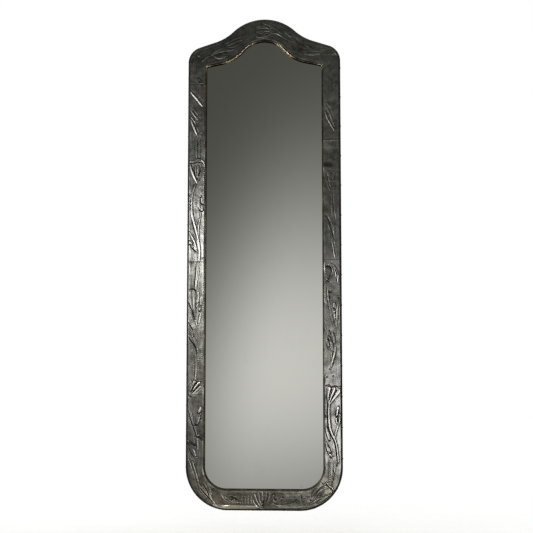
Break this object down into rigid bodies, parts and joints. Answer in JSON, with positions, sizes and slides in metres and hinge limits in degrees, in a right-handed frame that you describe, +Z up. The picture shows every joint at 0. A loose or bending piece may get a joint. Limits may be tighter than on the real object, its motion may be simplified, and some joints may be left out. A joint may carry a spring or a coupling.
{
  "type": "wall mirror",
  "caption": "Tall wall mirror with an arched crest, in a flat frame of embossed tin over a wood core, hung on two swinging rings let into its back.",
  "frame": {"origin": "middle of the flat back, on the back panel's rear face, which lies on the wall", "axes": "+Z up the mirror, +X to the right of a viewer who faces the glass, +Y from the back into the wall"},
  "size_m": [0.4806, 0.0225, 1.5252],
  "materials": {
    "tin": "aged, embossed tin sheet",
    "sight_brass": "dark worn brass",
    "mirror": "silvered glass",
    "card": "plain card",
    "hardboard": "smooth brown hardboard",
    "pine": "bare sawn pine",
    "hanger_steel": "zinc plate",
    "screw_steel": "zinc plate",
    "tack_steel": "dark steel"
  },
  "bodies": {
    "frame": {"back_panel": "hardboard", "bottom_rail": "pine", "bottom_sheet": "tin", "crest_rail": "pine", "crest_sheet_left": "tin", "crest_sheet_right": "tin", "crest_sight_strip": "sight_brass", "hanger_screws": "screw_steel", "lap_screws": "screw_steel", "left_foot_sheet": "tin", "left_hanger_strap": "hanger_steel", "left_lower_sheet": "tin", "left_middle_sheet": "tin", "left_stile": "pine", "left_upper_sheet": "tin", "mirror_glass": "mirror", "packing_board": "card", "panel_screws": "screw_steel", "right_hanger_strap": "hanger_steel", "right_lower_sheet": "tin", "right_middle_sheet": "tin", "right_stile": "pine", "right_upper_sheet": "tin", "side_sight_strip": "sight_brass", "tin_tacks": "tack_steel"},
    "left_ring": {"left_hanger_ring": "hanger_steel"},
    "right_ring": {"right_hanger_ring": "hanger_steel"}
  },
  "joints": [
    {"name": "left_ring_swing", "type": "hinge", "parent": "frame", "child": "left_ring", "pos_m": [-0.21825, -0.0035, 0.305], "axis": [1, 0, 0], "range_deg": [0, 184]},
    {"name": "right_ring_swing", "type": "hinge", "parent": "frame", "child": "right_ring", "pos_m": [0.21825, -0.0035, 0.305], "axis": [1, 0, 0], "range_deg": [0, 184]}
  ]
}
